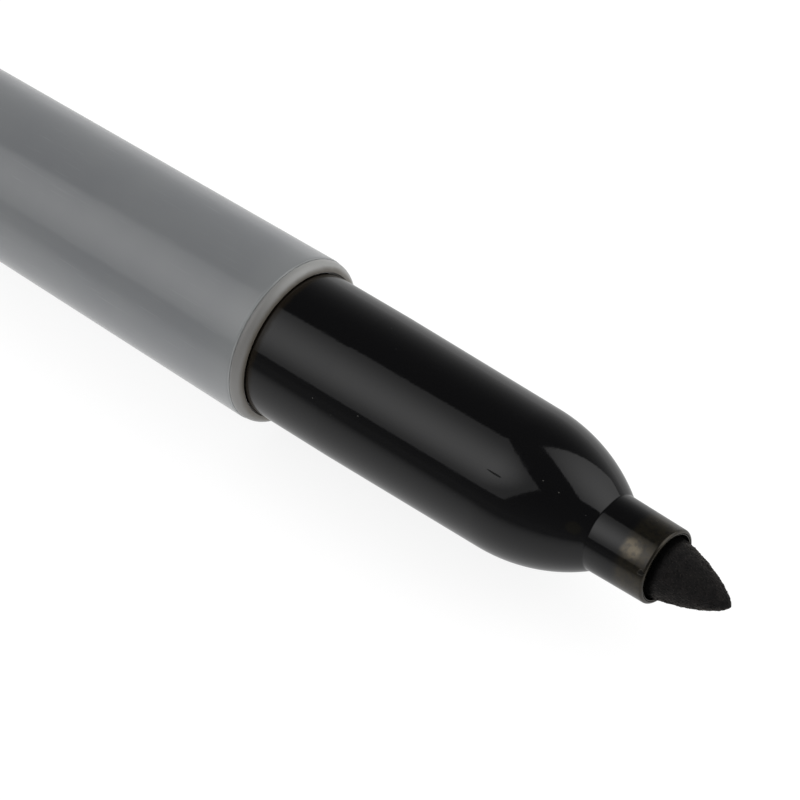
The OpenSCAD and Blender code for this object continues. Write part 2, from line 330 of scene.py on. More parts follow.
def add(tree, kind, inputs=None, out=0, **settings):
    """Adds a node with its settings, sets or links each of its inputs, and gives one of its outputs."""
    made = tree.nodes.new("ShaderNode" + kind)
    for key, value in settings.items():
        setattr(made, key, value)
    for key, value in (inputs or {}).items():
        if isinstance(value, bpy.types.NodeSocket):
            tree.links.new(value, made.inputs[key])
        else:
            made.inputs[key].default_value = value
    return made.outputs[out] if made.outputs else None


def new_material(name):
    """An empty node material, its tree and the object coordinates of what it covers."""
    material = bpy.data.materials.new(name)
    material.use_nodes = True
    material.node_tree.nodes.clear()
    return material, material.node_tree, add(material.node_tree, "TexCoord", out="Object")


def total(tree, start, layers):
    """The sum of a starting value and of layers, each a pattern times an amount."""
    for pattern, amount in layers:
        start = add(tree, "Math", {0: pattern, 1: amount, 2: start}, operation="MULTIPLY_ADD")
    return start


def relief(tree, layers):
    """The normal of a surface whose height is the sum of layers, each a pattern times a depth in mm."""
    height = total(tree, 0.0, [(pattern, depth * MM) for pattern, depth in layers])
    return add(tree, "Bump", {"Height": height, "Distance": 1.0}, out="Normal")


def layered(tree, ground, layers):
    """A colour with others laid over it in turn, each a mask and a hex value."""
    for mask, colour in layers:
        ground = add(tree, "Mix", {"Factor": mask, "A": ground, "B": linear(colour)}, out="Result",
                     data_type="RGBA")
    return ground


def ragged(tree, place, size, amount):
    """Coordinates pushed about by noise of a size by up to an amount in mm, for patterns with torn edges."""
    push = add(tree, "TexNoise", {"Vector": place, "Scale": per_metre(size), "Detail": 3.0}, out="Color")
    push = add(tree, "VectorMath", {0: push, 1: (0.5, 0.5, 0.5)}, operation="SUBTRACT")
    return add(tree, "VectorMath", {0: push, 1: (2 * amount * MM,) * 3, 2: place}, operation="MULTIPLY_ADD")


def spot(tree, place, center, size):
    """A mask of an ellipsoid, from its center and half sizes in mm, that fades out over its outer half."""
    local = add(tree, "Mapping", {"Vector": place, "Location": Vector(center) * MM,
                                  "Scale": Vector(size) * MM}, vector_type="TEXTURE")
    away = add(tree, "VectorMath", {0: local}, out="Value", operation="LENGTH")
    return add(tree, "MapRange", {"Value": away, "From Min": 1.0, "From Max": 0.5}, **SMOOTH)


def dust(tree, place, cell, size):
    """A mask of specks: the surface within a size of random points about a cell apart, both in mm."""
    near = add(tree, "TexVoronoi", {"Vector": place, "Scale": per_metre(cell)})
    edge = size / cell
    return add(tree, "MapRange", {"Value": near, "From Min": edge, "From Max": edge / 2}, **SMOOTH)


def hairlines(tree, place, width, length, least):
    """A mask of scratches along the marker, of a width and length in mm: the peaks of stretched noise."""
    along = add(tree, "Mapping", {"Vector": place, "Scale": (width / length, 1, 1)})
    noise = add(tree, "TexNoise", {"Vector": along, "Scale": per_metre(width), "Detail": 1.0})
    return add(tree, "MapRange", {"Value": noise, "From Min": least, "From Max": least + 0.06}, **SMOOTH)


def black_gloss(tree, place):
    """Colour, roughness and height layers of polished black plastic.

    The gloss is slightly wavy, as on any thin moulding. Handling leaves smudges that dull it a little,
    hairlines along the marker and specks of dust."""
    waves = add(tree, "TexNoise", {"Vector": place, "Scale": per_metre(4.0), "Detail": 1.0})
    smudges = add(tree, "TexNoise", {"Vector": place, "Scale": per_metre(2.4), "Detail": 4.0})
    smudges = add(tree, "MapRange", {"Value": smudges, "From Min": 0.5, "From Max": 0.75}, **SMOOTH)
    # Real hairlines are about 0.01 mm wide, and are drawn at 0.05 mm so that they show.
    scratches = hairlines(tree, place, 0.05, 4.0, 0.7)
    specks = dust(tree, place, 1.6, 0.028)
    colour = layered(tree, linear("#0b0b0c"), [(specks, "#302e2c")])
    rough = total(tree, 0.075, [(smudges, 0.05), (scratches, 0.08), (specks, 0.6)])
    return colour, rough, [(waves, 0.006), (specks, 0.008)]


def polished_black_plastic():
    """Polystyrene from a polished mould: near black under a clear, sharp gloss."""
    material, tree, place = new_material("polished moulded black polystyrene")
    colour, rough, layers = black_gloss(tree, place)
    shader = add(tree, "BsdfPrincipled", {"Base Color": colour, "Roughness": rough, "IOR": 1.5,
                                          "Normal": relief(tree, layers)})
    add(tree, "OutputMaterial", {"Surface": shader})
    return material


BLACK = polished_black_plastic()


# Barrel

def barrel_outline():
    """The barrel's outside from tail to lip, then its bore from lip to tail."""
    outside = rounded([
        (TAIL_END, TAIL_BORE_R, 0), (TAIL_END, TAIL_R, TAIL_ROUND), (BARREL_STEP, TAIL_R, STEP_ROOT_ROUND),
        (BARREL_STEP, BARREL_REAR_R, STEP_EDGE_ROUND), (-LIP_LENGTH - LIP_BEVEL, BARREL_R, LIP_BEVEL_ROUND),
        (-LIP_LENGTH, BARREL_R - LIP_GROOVE, LIP_GROOVE_ROUND),
        (-LIP_ROUND, BARREL_R - LIP_CREASE, 0)])[:-1]
    lip = arc((-LIP_ROUND, LIP_EDGE_R), LIP_ROUND, 90, 0, steps=24)
    bore = np.array([
        (MOUTH_R - LIP_EDGE_R, MOUTH_R), (-LIP_ROUND, TENON_BORE_R), (TENON_END, TENON_BORE_R),
        (TENON_END, RIB_BORE_R), (PLUG_FRONT, TAIL_BORE_R), (TAIL_END + FLANGE_THICKNESS, TAIL_BORE_R),
        (TAIL_END + FLANGE_THICKNESS, FLANGE_R + FLANGE_GAP), (TAIL_END, FLANGE_R + FLANGE_GAP)])
    return np.concatenate([outside[1:], lip, bore])


def satin_grey_plastic():
    """Polypropylene from a lightly blasted mould: mid grey under a satin gloss with soft, uneven edges.

    The wall has sunk a little here and there, the colour is faintly mottled, and handling has left dull
    hairlines. The barrel is paler towards the lip. The lip is painted paler still, a painted highlight for
    the light its rolled bead catches, and darker on its side towards the viewer. A thin painted highlight
    runs along the crease behind it, and there is an ink stain in the mouth."""
    material, tree, place = new_material("satin moulded grey polypropylene")
    sinks = add(tree, "TexNoise", {"Vector": place, "Scale": per_metre(3.2), "Detail": 1.0})
    mottle = add(tree, "TexNoise", {"Vector": place, "Scale": per_metre(5.0), "Detail": 5.0})
    # The blasted grain is about 0.03 mm, and is drawn at 0.12 mm so that it shows.
    grain = add(tree, "TexNoise", {"Vector": place, "Scale": per_metre(0.12), "Detail": 2.0})
    scratches = hairlines(tree, place, 0.06, 5.0, 0.69)
    torn = add(tree, "SeparateXYZ", {0: ragged(tree, place, 0.8, 0.05)}).node.outputs
    # The barrel is made paler towards the lip.
    paler_front, lip, mouth = [
        add(tree, "MapRange", {"Value": torn["X"], "From Min": start * MM, "From Max": full * MM}, **SMOOTH)
        for start, full in (BARREL_PALER, LIP_PALE, MOUTH_STAIN)]
    towards_viewer = add(tree, "MapRange", {"Value": torn["Y"], "From Min": LIP_VIEWER_SIDE[0] * MM,
                                  "From Max": LIP_VIEWER_SIDE[1] * MM})
    lip_viewer_side = add(tree, "Math", {0: lip, 1: towards_viewer}, operation="MULTIPLY")
    # A thin line behind the lip is painted pale: a painted highlight on the crease's edge.
    edge = add(tree, "Math", {0: torn["X"], 1: LIP_PALE[0] * MM, 2: CREASE_HIGHLIGHT_HALF_WIDTH * MM}, operation="COMPARE")
    # The lip is painted paler, a painted highlight for the light its rolled bead catches, and darker again on
    # its side towards the viewer.
    colour = layered(tree, linear("#6d6f72"), [
        (mottle, "#767879"), (scratches, "#797b7d"), (paler_front, "#77797a"), (lip, "#898987"),
        (lip_viewer_side, "#6e6d6b"), (edge, "#858787"), (mouth, "#5d5850")])
    rough = total(tree, 0.07, [(mottle, 0.08), (grain, 0.05), (scratches, 0.06), (lip, 0.25)])
    normal = relief(tree, [(sinks, 0.03), (grain, 0.0008)])
    shader = add(tree, "BsdfPrincipled", {
        "Base Color": colour, "Roughness": rough, "IOR": 1.7, "Sheen Weight": 0.3, "Sheen Roughness": 0.3,
        "Sheen Tint": linear("#ffffff"), "Normal": normal})
    add(tree, "OutputMaterial", {"Surface": shader})
    return material


barrel = mesh_of("barrel_tube", turned(barrel_outline()), True, satin_grey_plastic())
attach(barrel, "marker")
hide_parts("barrel")


# Front section

def section_outlines():
    """The section's outside from tenon to rim, with a dome tangent to the drafted body, and its bores."""
    draft = math.atan((SEAT_R - DOME_START_R) / (DOME_START - SEAT_LENGTH))
    fall, length = DOME_START_R - COLLAR_ROOT_R, DOME_END - DOME_START
    dome_r = (fall ** 2 + length ** 2) / (2 * (fall * math.cos(draft) - length * math.sin(draft)))
    dome_center = (DOME_START - dome_r * math.sin(draft), DOME_START_R - dome_r * math.cos(draft))
    dome_last = math.degrees(math.asin((DOME_END - dome_center[0]) / dome_r))
    body = rounded([
        (TENON_END, RESERVOIR_BORE_R, 0), (TENON_END, TENON_R - TENON_CHAMFER, 0),
        (TENON_END + TENON_CHAMFER, TENON_R, 0), (0, TENON_R, 0), (0, SEAT_R, SHOULDER_ROUND),
        (SEAT_LENGTH, SEAT_R, SEAT_BLEND), (DOME_START, DOME_START_R, 0)])
    dome = arc(dome_center, dome_r, 90 - math.degrees(draft), 90 - dome_last, steps=70)
    near_collar = len(dome) - 4
    collar = rounded([
        (*dome[near_collar], 0), (DOME_END, COLLAR_ROOT_R, COLLAR_FILLET),
        (COLLAR_FRONT, COLLAR_FRONT_R, RIM_ROUND), (COLLAR_FRONT, COLLAR_BORE_R, RIM_INNER_ROUND),
        (GUIDE_START, COLLAR_BORE_R, 0)])
    inside = np.array([
        (GUIDE_START, GUIDE_R), (CHAMBER_FRONT, GUIDE_R), (CHAMBER_FRONT, CHAMBER_R),
        (RESERVOIR_FRONT, CHAMBER_R), (RESERVOIR_FRONT, RESERVOIR_BORE_R)])
    front = collar[:, 0].argmax()
    outside = np.concatenate([body, dome[1:near_collar], collar[:front + 1]])
    return outside, np.concatenate([collar[front + 1:], inside])


SECTION_OUTSIDE, SECTION_INSIDE = section_outlines()


def on_section(x, turn):
    """The section's outside at a place on the axis and a turn in degrees from the top towards the viewer."""
    radius = np.interp(x, *SECTION_OUTSIDE.T)
    return x, -radius * math.sin(math.radians(turn)), radius * math.cos(math.radians(turn))


def inky_black_plastic():
    """The polished black plastic of the front section, with a scratch, specks and dried ink on its collar.

    Marker ink dries to a thin skin that tints the gloss brown. It is thickest in one blot, which mirrors two
    or three times the light, and a little duller along the rim, where the felt wets it. Beside the barrel's
    mouth the colour is browned and the gloss dimmed: painted shade and a painted reflection of the dark
    mouth."""
    material, tree, place = new_material("polished moulded black polystyrene with dried ink")
    colour, rough, layers = black_gloss(tree, place)
    torn = ragged(tree, place, 0.5, 0.16)
    x = add(tree, "SeparateXYZ", {0: torn})
    film, mouth_shade, rim = [
        add(tree, "MapRange", {"Value": x, "From Min": start * MM, "From Max": full * MM}, **SMOOTH)
        for start, full in (INK_FILM, MOUTH_SHADE, INK_RIM)]
    patchy = add(tree, "TexNoise", {"Vector": place, "Scale": per_metre(0.3), "Detail": 4.0})
    patchy = add(tree, "MapRange", {"Value": patchy, "From Min": 0.3, "From Max": 0.6, "To Min": 0.45},
                 **SMOOTH)
    film = add(tree, "Math", {0: film, 1: patchy}, operation="MULTIPLY")
    blot = spot(tree, torn, on_section(*INK_BLOT), INK_BLOT_SIZE)
    blot = add(tree, "Math", {0: blot, 1: patchy}, operation="MULTIPLY")
    smear = spot(tree, torn, on_section(*INK_SMEAR), INK_SMEAR_SIZE)
    crumb = spot(tree, torn, on_section(*INK_CRUMB), INK_CRUMB_SIZE)
    scratch = spot(tree, ragged(tree, place, 0.3, 0.02), on_section(*SCRATCH), SCRATCH_SIZE)
    for mark in SPECKS:
        speck = spot(tree, place, on_section(*mark), SPECK_SIZE)
        colour = layered(tree, colour, [(speck, "#3c3a37")])
        rough = total(tree, rough, [(speck, 0.5)])
    # Beside the barrel's mouth the colour is browned: painted shade and a painted reflection of the dark
    # mouth and warm lip.
    colour = layered(tree, colour, [
        (smear, "#12110e"), (mouth_shade, "#1c1813"), (film, "#16140f"), (crumb, "#070706")])
    tint = layered(tree, linear("#ffffff"), [(film, "#fff4e2"), (blot, "#fff0d6")])
    # The gloss is also dimmed beside the barrel's mouth, as painted shade.
    level = total(tree, 0.5, [
        (film, 0.22), (blot, 0.8), (rim, -0.02), (mouth_shade, -0.3), (scratch, -0.3), (crumb, -0.3)])
    rough = total(tree, rough, [(film, 0.04), (rim, 0.1), (crumb, 0.4), (scratch, 0.3)])
    layers += [(patchy, 0.001), (crumb, 0.015), (scratch, -0.02)]
    shader = add(tree, "BsdfPrincipled", {
        "Base Color": colour, "Roughness": rough, "IOR": 1.5, "Specular IOR Level": level,
        "Specular Tint": tint, "Normal": relief(tree, layers)})
    add(tree, "OutputMaterial", {"Surface": shader})
    return material


section_grid = turned(np.concatenate([SECTION_OUTSIDE, SECTION_INSIDE]))
section = mesh_of("front_section_shell", section_grid, True, inky_black_plastic())
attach(section, "marker")
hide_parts("front_section")


# Nib

def point_radius(share):
    """The bullet point's radius at a share s of its length: R (1 - s^fullness)^(1 / bluntness)."""
    return NIB_R * np.clip(1 - share ** POINT_FULLNESS, 0, None) ** (1 / POINT_BLUNTNESS)


def nib_grid():
    """The felt rod and its bullet point, made rough by lumps and tufts that stand in and out of it.

    The roughness sets in just inside the collar and calms near the axis. The point is worn, so it leans
    down a little towards its tip, which stays just inside the solid's."""
    share = np.sin(np.linspace(0, np.pi / 2, 190))
    point = np.stack([COLLAR_FRONT + (NIB_TIP - COLLAR_FRONT) * share, point_radius(share)], axis=1)
    rod = np.array([(NIB_END, 0), (NIB_END, NIB_TAIL_R), (NIB_END + NIB_TAIL_LENGTH, NIB_R),
                    (COLLAR_FRONT - 1.5 * ROUGH_RUN, NIB_R), (COLLAR_FRONT - ROUGH_RUN, NIB_R),
                    (COLLAR_FRONT - 0.5 * ROUGH_RUN, NIB_R)])
    grid = turned(np.concatenate([rod, point]), columns=400)
    tufts = ripple(grid, TUFT_SIZE, count=180, seed=5)
    lumps = ripple(grid, LUMP_SIZE, count=60, seed=6)
    start = np.clip((grid[..., 0] - COLLAR_FRONT) / ROUGH_RUN + 1, 0, 1)
    axis_distance = np.linalg.norm(grid[..., 1:], axis=-1)
    calm = np.clip(axis_distance / CALM_R, 0, 1)
    depth = (TUFT_DEPTH * tufts + LUMP_DEPTH * lumps + FELT_SWELL) * start * calm
    grid[..., 1:] *= (1 + depth / np.maximum(axis_distance, 1e-6))[..., None]
    grid[..., 2] -= NIB_LEAN * np.clip(grid[..., 0] - COLLAR_FRONT, 0, None) / (NIB_TIP - COLLAR_FRONT)
    grid[..., 0] = np.minimum(grid[..., 0] - 2 * TIP_INSET * start, NIB_TIP - TIP_INSET)
    return grid


def fibre_grids():
    """Loose fibres: thin four-sided tubes that come out of the felt, arch low over it and end close to it.

    Each starts at a random share and turn of the point and heads in a random direction on its surface,
    bent to one side. Its height is part of a sine wave, and its ends taper to a point."""
    rng = np.random.default_rng(11)
    share = FIBRE_START + FIBRE_START_SPREAD * rng.random((FIBRE_COUNT, 1)) ** 0.8
    turn = rng.random((FIBRE_COUNT, 1)) * 2 * np.pi
    heading = rng.random((FIBRE_COUNT, 1)) * 2 * np.pi
    length = FIBRE_LENGTH + FIBRE_LENGTH_SPREAD * rng.random((FIBRE_COUNT, 1))
    bend = rng.normal(size=(FIBRE_COUNT, 1)) * FIBRE_BEND
    lift = FIBRE_LIFT + FIBRE_LIFT_SPREAD * rng.random((FIBRE_COUNT, 1))
    step = np.linspace(0, 1, 7)
    way = heading + bend * step
    size = NIB_TIP - COLLAR_FRONT
    share = np.clip(share + np.cos(way) * length * step / size, 0, FIBRE_LAST)
    radius = point_radius(share)
    turn = turn + np.sin(way) * length * step / np.maximum(radius, 0.25)
    height = radius - FIBRE_ROOT + (FIBRE_ROOT + lift) * np.sin(np.pi * step * 0.75)
    thick = FIBRE_R * np.sqrt(np.clip(1 - (2 * step - 1) ** 4, 0, None))
    corner = np.arange(4) * np.pi / 2
    up = height[..., None] + thick[..., None] * np.cos(corner)
    across = thick[..., None] * np.sin(corner)
    x = COLLAR_FRONT + share[..., None] * size - FIBRE_SET_BACK - across * np.sin(way)[..., None]
    y = up * np.sin(turn)[..., None] + across * (np.cos(turn) * np.cos(way))[..., None]
    z = up * np.cos(turn)[..., None] - across * (np.sin(turn) * np.cos(way))[..., None]
    z = z - NIB_LEAN * share[..., None]
    return np.stack([np.minimum(x, NIB_TIP - TIP_INSET), y, z], axis=-1)


def inky_felt():
    """Bonded polyester felt soaked in black ink: no gloss, a speckle of fibres with painted glints, and a
    faint sheen at its edge.

    It is wettest where it comes out of the collar, and darkest there: wet ink and painted shade."""
    material, tree, place = new_material("ink soaked bonded felt")
    # Fibres are about 0.02 mm thick. They are drawn in tufts of 0.1 mm so that they show.
    tufts = add(tree, "TexNoise", {"Vector": place, "Scale": per_metre(0.1), "Detail": 3.0, "Roughness": 0.7})
    clumps = add(tree, "TexNoise", {"Vector": place, "Scale": per_metre(0.5), "Detail": 3.0})
    flecks = dust(tree, place, 0.2, 0.045)
    shade = total(tree, 0.0, [(tufts, 0.6), (clumps, 0.4)])
    shade = add(tree, "MapRange", {"Value": shade, "From Min": 0.38, "From Max": 0.64}, **SMOOTH)
    # Pale flecks: paler fibres, and painted glints of sheen on loose fibres.
    pale_fibres_and_glints = total(tree, 0.0, [(flecks, 0.25)])
    x = add(tree, "SeparateXYZ", {0: ragged(tree, place, 0.4, 0.1)})
    # Near the collar the felt is wet, and is painted darker with less sheen and gloss as painted shade in the
    # collar's mouth.
    wet_and_shade = add(tree, "MapRange", {"Value": x, "From Min": FELT_WET_SHADE[0] * MM, "From Max": FELT_WET_SHADE[1] * MM},
              **SMOOTH)
    colour = layered(tree, linear("#0b0a0a"), [(shade, "#181514"), (pale_fibres_and_glints, "#48423d"), (wet_and_shade, "#040404")])
    sheen = total(tree, 0.42, [(wet_and_shade, -0.4)])
    level = total(tree, 0.45, [(wet_and_shade, -0.4)])
    rough = total(tree, 0.72, [(tufts, 0.3)])
    shader = add(tree, "BsdfPrincipled", {
        "Base Color": colour, "Roughness": rough, "IOR": 1.4, "Specular IOR Level": level,
        "Sheen Weight": sheen, "Sheen Roughness": 0.3, "Sheen Tint": linear("#a89e92"),
        "Normal": relief(tree, [(tufts, 0.04), (flecks, 0.01)])})
    add(tree, "OutputMaterial", {"Surface": shader})
    return material


FELT = inky_felt()
for name, grid in (("felt_nib", nib_grid()), ("felt_nib_fibres", fibre_grids())):
    piece = mesh_of(name, grid, False, FELT, sharp=80)
    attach(piece, "marker")
    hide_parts("nib")


# Tail plug

def plug_outline():
    """The plug from the middle of its dished end, round its flange and wall, to the middle of its cup."""
    face = TAIL_END + FLANGE_THICKNESS
    return rounded([
        (TAIL_END + DISH_DEPTH, 0, 0), (TAIL_END + DISH_DEPTH, DISH_R, PLUG_ROUND),
        (TAIL_END, DISH_R, PLUG_ROUND), (TAIL_END, FLANGE_R, FLANGE_ROUND), (face, FLANGE_R, 0),
        (face, PLUG_R, 0), (PLUG_FRONT, PLUG_R, PLUG_ROUND), (PLUG_FRONT, PLUG_BORE_R, PLUG_ROUND),
        (face, PLUG_BORE_R, PLUG_CUP_ROUND), (face, 0, 0)])


plug = mesh_of("tail_plug_cup", turned(plug_outline(), columns=192), False, BLACK)
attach(plug, "marker")
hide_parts("tail_plug")


# Cap and clip

def cap_outline():
    """The cap's outside from its mouth to its closed end, then its stepped bore back to the mouth."""
    outside = rounded([
        (0, CAP_BORE_R, 0), (0, CAP_MOUTH_R, CAP_MOUTH_ROUND), (CAP_LENGTH, CAP_TOP_R, CAP_TOP_ROUND),
        (CAP_LENGTH, 0, 0)])
    bottom = CAP_LENGTH - CAP_END_WALL
    bore = rounded([
        (bottom, 0, 0), (bottom, CAP_DEEP_R, CAP_END_ROUND), (LINER_SEAT, CAP_DEEP_R, LINER_SEAT_ROUND),
        (LINER_SEAT, CAP_BORE_R, LINER_SEAT_ROUND), (0, CAP_BORE_R, CAP_BORE_ROUND), (0, CAP_MOUTH_R, 0)])
    return outside, bore


def clip_turn():
    """How far the clip is turned from straight down, so that its edge is just above the table."""
    half = CLIP_ROOT_WIDTH / 2
    edge = CLIP_OUTER_R - CLIP_CROWN_R + math.sqrt(CLIP_CROWN_R ** 2 - half ** 2)
    level = (CAP_MOUTH_R + CAP_RIB_HEIGHT - CAP_RIB_R) * math.cos(math.pi / CAP_RIB_COUNT) + CAP_RIB_R
    return math.acos((level - CLIP_REST_GAP) / math.hypot(edge, half)) + math.atan2(half, edge)


def posted(depth, radial, across, turn):
    """Points of the posted cap: depth from its mouth, and two distances from the axis turned by an angle."""
    y = -radial * np.sin(turn) + across * np.cos(turn)
    z = radial * np.cos(turn) + across * np.sin(turn)
    return np.stack([CAP_MOUTH - depth + 0 * y, y, z], axis=-1)


def cap_grid(columns=432):
    """The cap turned about its axis, with ribs that stand out of its outside near the mouth.

    A rib is a cylinder with ball ends, and the radius is the larger of the cap's and the rib's."""
    outer, inner = cap_outline()
    margin = 0.1
    stations = np.linspace(CAP_RIB_INSET - margin, CAP_RIB_INSET + CAP_RIB_LENGTH + margin, 70)
    flank = np.stack([stations, CAP_MOUTH_R + (CAP_TOP_R - CAP_MOUTH_R) * stations / CAP_LENGTH], axis=1)
    mouth = outer[outer[:, 0] < stations[0] - margin / 5]
    rest = outer[outer[:, 0] > stations[-1] + margin / 5]
    outline = np.concatenate([mouth[1:], flank, rest, inner[:-1]])
    depth, radius = outline[:, :1], outline[:, 1:]
    angle = np.linspace(0, 2 * np.pi, columns, endpoint=False)
    pitch = 2 * np.pi / CAP_RIB_COUNT
    off_rib = (angle % pitch - pitch / 2)[None]
    from_middle = np.abs(depth - CAP_RIB_INSET - CAP_RIB_LENGTH / 2)
    end = np.clip(from_middle - CAP_RIB_LENGTH / 2 + CAP_RIB_R, 0, None)
    back = np.sqrt(np.clip(CAP_RIB_R ** 2 - end ** 2, 0, None))
    middle = CAP_MOUTH_R + CAP_RIB_HEIGHT - CAP_RIB_R
    chord = back ** 2 - (middle * np.sin(off_rib)) ** 2
    rib = np.where(chord > 0, middle * np.cos(off_rib) + np.sqrt(np.clip(chord, 0, None)), 0)
    rib[depth[:, 0] > stations[-1] + margin] = 0
    rib[len(mouth) + len(flank) + len(rest) - 1:] = 0
    radius = np.maximum(radius, rib)
    return posted(depth, radius * np.cos(angle), radius * np.sin(angle), 0.0)


def clip_grid():
    """The clip as a superellipse with a crowned outer side, carried along the cap's length.

    The section's inner and outer faces and its width follow the clip's side view and plan. It starts and ends
    in a point, and its root is sunk in the cap's wall."""
    half_thick = (CLIP_OUTER_R - CLIP_INNER_R) / 2
    tip_half, root_half = CLIP_TIP_WIDTH / 2, CLIP_ROOT_WIDTH / 2
    root = CLIP_TOP - CLIP_ROOT_LENGTH
    near_tip = CLIP_TIP + tip_half * (1 - np.cos(np.linspace(0, np.pi / 2, 40)))
    near_ball = np.linspace(CLIP_TIP + tip_half, CLIP_TIP + CLIP_FINE_RUN, 30)[1:]
    arm = np.linspace(CLIP_TIP + CLIP_FINE_RUN, root - CLIP_ROOT_FILLET, 24)[1:]
    at_root = root - CLIP_ROOT_FILLET * np.cos(np.linspace(0, np.pi / 2, 12))[1:]
    shoulder = CLIP_TOP - CLIP_SHOULDER * (1 - np.sin(np.linspace(0, np.pi / 2, 24)))
    sunk = root + np.array([0.01, 1.5])
    s = np.concatenate([near_tip, near_ball, arm, at_root, sunk, shoulder])
    round_tip = np.sqrt(np.clip(1 - ((CLIP_TIP + tip_half - s) / tip_half).clip(0, 1) ** 2, 0, None))
    taper = tip_half + (root_half - tip_half) * (s - CLIP_TIP - tip_half) / (CLIP_TOP - CLIP_TIP - tip_half)
    width = np.where(s < CLIP_TIP + tip_half, tip_half * round_tip, taper)
    nose = np.sqrt(np.clip(1 - ((CLIP_TIP + half_thick - s) / half_thick).clip(0, 1) ** 2, 0, None))
    mid = CLIP_INNER_R + half_thick
    ball = np.sqrt(np.clip(CLIP_BALL_R ** 2 - (s - CLIP_TIP - 2 * CLIP_BALL_R) ** 2, 0, None))
    ball = np.clip(ball - CLIP_BALL_R + CLIP_BALL_HEIGHT, 0, None)
    fillet = np.clip(s - root + CLIP_ROOT_FILLET, 0, CLIP_ROOT_FILLET)
    fillet = CLIP_ROOT_FILLET - np.sqrt(np.clip(CLIP_ROOT_FILLET ** 2 - fillet ** 2, 0, None))
    inner = mid - half_thick * nose - ball - fillet
    inner = np.where(s > root, CAP_DEEP_R + CLIP_ROOT_SINK, inner)
    fall = np.clip(s - CLIP_TOP + CLIP_SHOULDER, 0, CLIP_SHOULDER)
    fall = CLIP_SHOULDER - np.sqrt(np.clip(CLIP_SHOULDER ** 2 - fall ** 2, 0, None))
    outer = mid + half_thick * nose - fall
    t = np.linspace(0, 2 * np.pi, 96, endpoint=False)
    squared = 2 / 7
    a = np.sign(np.cos(t)) * np.abs(np.cos(t)) ** squared
    b = 0.5 + 0.5 * np.sign(np.sin(t)) * np.abs(np.sin(t)) ** squared
    across = width[:, None] * a
    crown = CLIP_CROWN_R - np.sqrt(CLIP_CROWN_R ** 2 - across ** 2)
    radial = inner[:, None] + (outer - inner)[:, None] * b - crown * b
    depth = np.repeat(s[:, None], len(t), axis=1)
    end = np.stack([depth[-1], radial[-1], across[-1]])
    middle = end.mean(axis=1, keepdims=True)
    close = [(middle + (end - middle) * k)[:, None] for k in (0.97, 0.9, 0.5, 0.0)]
    grid = np.concatenate([np.stack([depth, radial, across]), *close], axis=1)
    return posted(*grid, math.pi - clip_turn())


for name, grid, sharp in (("cap_body", cap_grid(), 35), ("cap_clip", clip_grid(), 50)):
    piece = mesh_of(name, grid, False, BLACK, sharp)
    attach(piece, "cap")
    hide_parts("cap_shell")


# Inner pieces, which keep the shape of their solids

def inky_fibre():
    """Polyester fibre drawn along the marker and soaked in ink: dark, dull strands with a bluish sheen."""
    material, tree, place = new_material("ink soaked polyester fibre")
    along = add(tree, "Mapping", {"Vector": place, "Scale": (0.03, 1, 1)})
    # Fibres are about 0.02 mm thick. They are drawn in strands of 0.15 mm so that they show.
    strands = add(tree, "TexNoise", {"Vector": along, "Scale": per_metre(0.15), "Detail": 4.0})
    soak = add(tree, "TexNoise", {"Vector": place, "Scale": per_metre(3.0), "Detail": 2.0})
    shade = add(tree, "MapRange", {"Value": total(tree, 0.0, [(strands, 0.7), (soak, 0.3)]),
                                   "From Min": 0.35, "From Max": 0.65}, **SMOOTH)
    shader = add(tree, "BsdfPrincipled", {
        "Base Color": layered(tree, linear("#16161b"), [(shade, "#34343f")]),
        "Roughness": total(tree, 0.6, [(strands, 0.4)]), "Sheen Weight": 0.2,
        "Normal": relief(tree, [(strands, 0.06)])})
    add(tree, "OutputMaterial", {"Surface": shader})
    return material


def clear_film():
    """Thin polypropylene film wrapped round the core: glossy, slightly creased, greyed by the ink behind."""
    material, tree, place = new_material("creased polypropylene film")
    along = add(tree, "Mapping", {"Vector": place, "Scale": (0.25, 1, 1)})
    creases = add(tree, "TexNoise", {"Vector": along, "Scale": per_metre(1.6), "Detail": 5.0})
    ridge = add(tree, "MapRange", {"Value": creases, "From Min": 0.47, "From Max": 0.53}, **SMOOTH)
    soak = add(tree, "TexNoise", {"Vector": place, "Scale": per_metre(6.0), "Detail": 3.0})
    shader = add(tree, "BsdfPrincipled", {
        "Base Color": layered(tree, linear("#9d9d9a"), [(soak, "#dad9d2")]),
        "Roughness": total(tree, 0.16, [(creases, 0.2)]), "IOR": 1.49,
        "Normal": relief(tree, [(ridge, 0.02), (creases, 0.05)])})
    add(tree, "OutputMaterial", {"Surface": shader})
    return material


def milky_liner():
    """Natural polyethylene: milky and waxy, a little uneven, with ink stains deep in the cup."""
    material, tree, place = new_material("natural moulded polyethylene")
    waves = add(tree, "TexNoise", {"Vector": place, "Scale": per_metre(2.0), "Detail": 2.0})
    cloud = add(tree, "TexNoise", {"Vector": place, "Scale": per_metre(1.2), "Detail": 4.0})
    depth = add(tree, "SeparateXYZ", {0: ragged(tree, place, 1.5, 1.2)})
    stain = add(tree, "MapRange", {"Value": depth, "From Min": LINER_STAIN[0] * MM,
                                   "From Max": LINER_STAIN[1] * MM, "To Max": 0.85}, **SMOOTH)
    colour = layered(tree, linear("#cfcec5"), [(cloud, "#dddcd5"), (stain, "#2b2a2d")])
    shader = add(tree, "BsdfPrincipled", {
        "Base Color": colour, "Roughness": total(tree, 0.3, [(cloud, 0.2)]), "IOR": 1.51,
        "Subsurface Weight": 0.25, "Subsurface Scale": 0.6 * MM, "Normal": relief(tree, [(waves, 0.02)])})
    add(tree, "OutputMaterial", {"Surface": shader})
    return material


for node, material in (("ink_reservoir", inky_fibre()), ("reservoir_sleeve", clear_film()),
                       ("cap_liner", milky_liner())):
    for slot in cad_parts[node].material_slots:
        slot.material = material


# Table, light and camera

